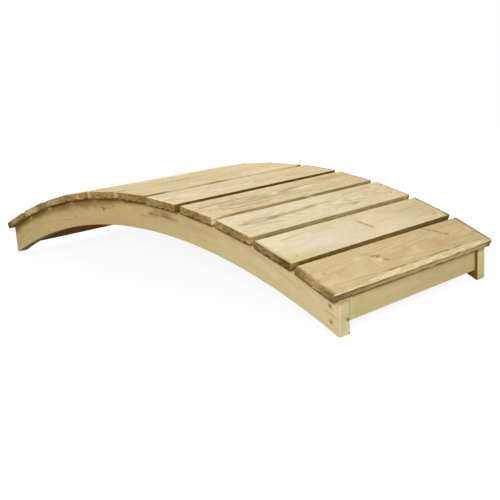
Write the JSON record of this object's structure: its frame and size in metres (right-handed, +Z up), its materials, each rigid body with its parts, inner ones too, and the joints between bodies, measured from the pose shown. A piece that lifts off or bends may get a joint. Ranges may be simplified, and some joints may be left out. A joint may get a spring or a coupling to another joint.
{
  "type": "low arched timber garden footbridge",
  "caption": "Low arched garden footbridge of treated softwood: spaced deck boards laid across two curved side stringers, held apart by a rail at each end, with no handrails.",
  "frame": {"origin": "on the ground, in the middle of the bridge's length and width", "axes": "+X along the walkway toward the front end, +Y toward the left stringer, +Z up"},
  "size_m": [1.7026, 0.74, 0.3072],
  "materials": {
    "deck_timber": "sawn, pressure-treated softwood, pale and dry",
    "stringer_timber": "planed, pressure-treated softwood, olive tan",
    "rail_timber": "sawn, pressure-treated softwood, tan",
    "screw_steel": "yellow-passivated countersunk wood screws"
  },
  "bodies": {
    "root": {"left_stringer": "stringer_timber", "right_stringer": "stringer_timber", "front_rail": "rail_timber", "back_rail": "rail_timber", "deck_board_01": "deck_timber", "deck_board_02": "deck_timber", "deck_board_03": "deck_timber", "deck_board_04": "deck_timber", "deck_board_05": "deck_timber", "deck_board_06": "deck_timber", "deck_board_07": "deck_timber", "deck_board_08": "deck_timber", "deck_board_09": "deck_timber", "deck_board_10": "deck_timber", "deck_board_11": "deck_timber"}
  },
  "joints": []
}
